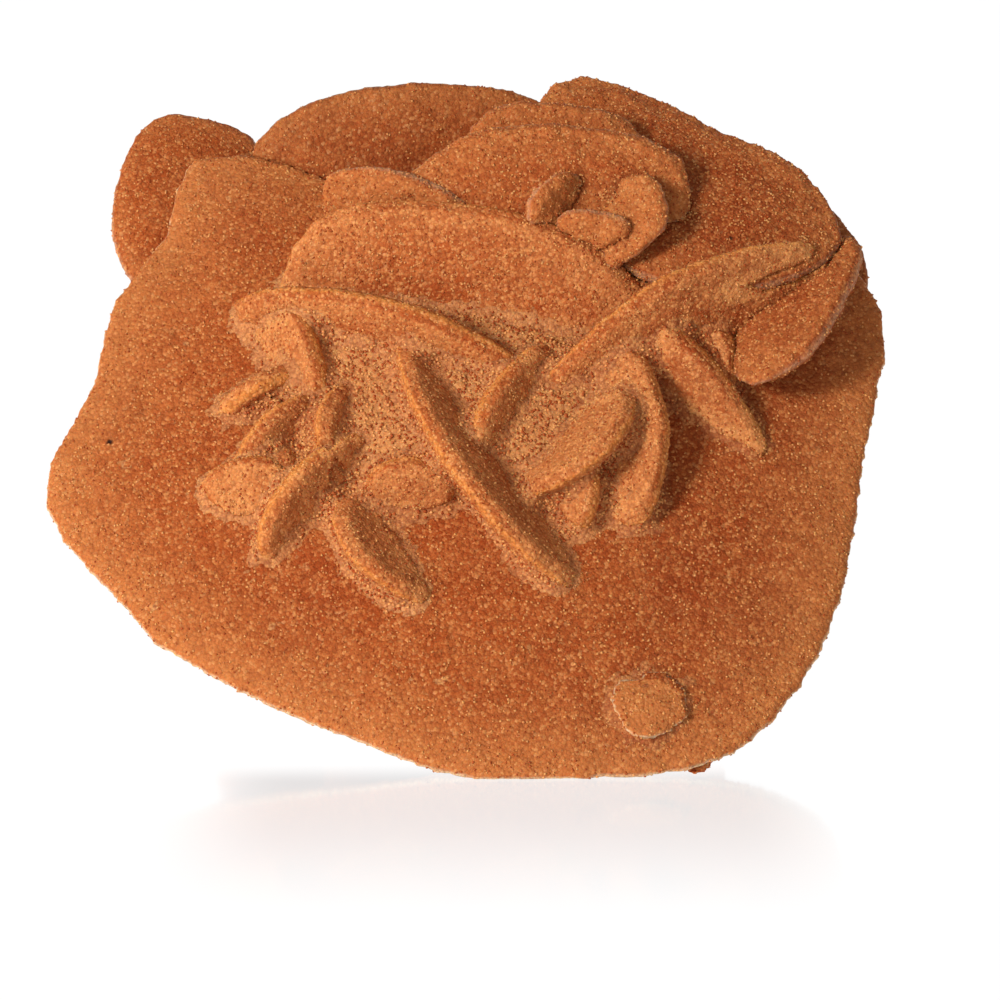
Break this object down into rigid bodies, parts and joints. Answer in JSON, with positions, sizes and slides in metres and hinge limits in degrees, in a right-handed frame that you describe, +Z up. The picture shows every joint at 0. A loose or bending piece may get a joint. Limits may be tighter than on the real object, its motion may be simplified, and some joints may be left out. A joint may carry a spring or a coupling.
{
  "type": "gypsum sand rose",
  "caption": "Sandy gypsum rose: one broad leaning plate with stacked petals and a rosette of crossing blades, resting on blades behind it.",
  "frame": {"origin": "middle of the rose's box on the surface it stands on", "axes": "+X along the main plate's long way, to the right seen from its face; -Y towards the face's lower edge; +Z up"},
  "size_m": [0.0848, 0.0642, 0.0544],
  "materials": {
    "plate_gypsum": "matte",
    "petal_gypsum": "matte",
    "fin_gypsum": "matte",
    "rear_gypsum": "matte",
    "cemented_sand": "matte"
  },
  "bodies": {
    "root": {"main_plate": "plate_gypsum", "broad_upper_petal": "petal_gypsum", "ridge_fin": "fin_gypsum", "right_diagonal_fin": "fin_gypsum", "long_front_fin": "fin_gypsum", "long_diagonal_fin": "fin_gypsum", "short_diagonal_fin": "fin_gypsum", "right_lower_fin": "fin_gypsum", "right_leaf": "fin_gypsum", "left_leaf": "fin_gypsum", "leaf_lobe": "fin_gypsum", "right_lobe_petal": "petal_gypsum", "shaded_leaf": "fin_gypsum", "slope_fin_1": "fin_gypsum", "slope_fin_2": "fin_gypsum", "slope_fin_3": "fin_gypsum", "slope_fin_4": "fin_gypsum", "low_left_flake": "fin_gypsum", "upright_fin": "fin_gypsum", "lower_left_fin": "fin_gypsum", "lower_fin": "fin_gypsum", "small_lens": "fin_gypsum", "crook_fin": "petal_gypsum", "inner_upper_petal": "petal_gypsum", "middle_upper_petal": "petal_gypsum", "crook_petal_1": "petal_gypsum", "crook_petal_2": "petal_gypsum", "crook_petal_3": "petal_gypsum", "left_rear_petal": "petal_gypsum", "upper_rear_plate": "plate_gypsum", "right_rear_plate": "plate_gypsum", "plate_flake": "plate_gypsum", "rear_cross_blade": "rear_gypsum", "rear_keel_left": "rear_gypsum", "rear_keel_right": "rear_gypsum", "rear_left_blade": "rear_gypsum", "rear_right_blade": "rear_gypsum", "rear_shelf": "rear_gypsum", "rear_far_blade": "rear_gypsum", "front_foot_blade": "rear_gypsum", "cemented_sand_1": "cemented_sand", "cemented_sand_2": "cemented_sand", "cemented_sand_3": "cemented_sand", "cemented_sand_4": "cemented_sand", "cemented_sand_5": "cemented_sand", "crook_sand_1": "cemented_sand"}
  },
  "joints": []
}
